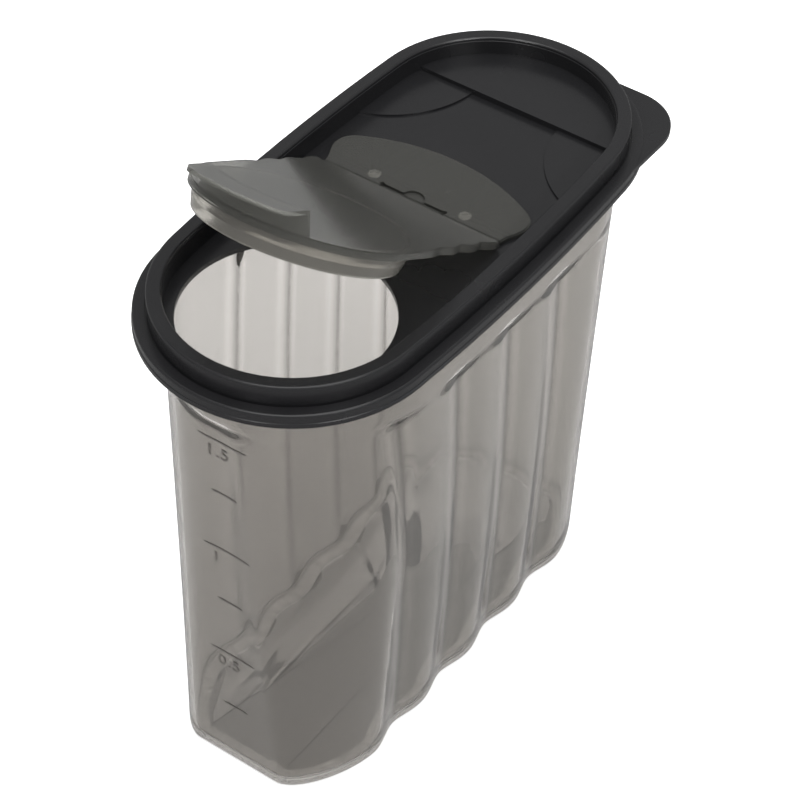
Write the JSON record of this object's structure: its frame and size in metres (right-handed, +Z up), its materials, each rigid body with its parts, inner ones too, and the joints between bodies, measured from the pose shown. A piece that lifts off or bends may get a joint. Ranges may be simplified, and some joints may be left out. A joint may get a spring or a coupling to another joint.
{
  "type": "cereal container",
  "caption": "Tall translucent cereal container with fluted sides, a push-fit lid with a rear lift tab and a hinged flap over a round pouring opening.",
  "frame": {"origin": "centre of the footprint, on the surface that the container stands on", "axes": "+Z up, spout and front face towards -Y, lift tab at +X +Y"},
  "size_m": [0.0928, 0.1886, 0.2281],
  "materials": {
    "smoke_plastic": "smoke-tinted translucent, satin",
    "charcoal_plastic": "charcoal, satin with polished edges",
    "flap_plastic": "grey translucent, satin"
  },
  "bodies": {
    "container": {"container_body": "smoke_plastic"},
    "lid": {"lid": "charcoal_plastic", "hinge_plate": "flap_plastic", "hinge_webs": "flap_plastic"},
    "flap": {"spout_flap": "flap_plastic"}
  },
  "joints": [
    {"name": "lid_lift", "type": "slide", "parent": "container", "child": "lid", "axis": [0, 0, 1], "range_m": [0, 0.06]},
    {"name": "flap_hinge", "type": "hinge", "parent": "lid", "child": "flap", "pos_m": [0, 0.0061, 0.1698], "axis": [-1, 0, 0], "range_deg": [-30.7, 79.3]}
  ]
}
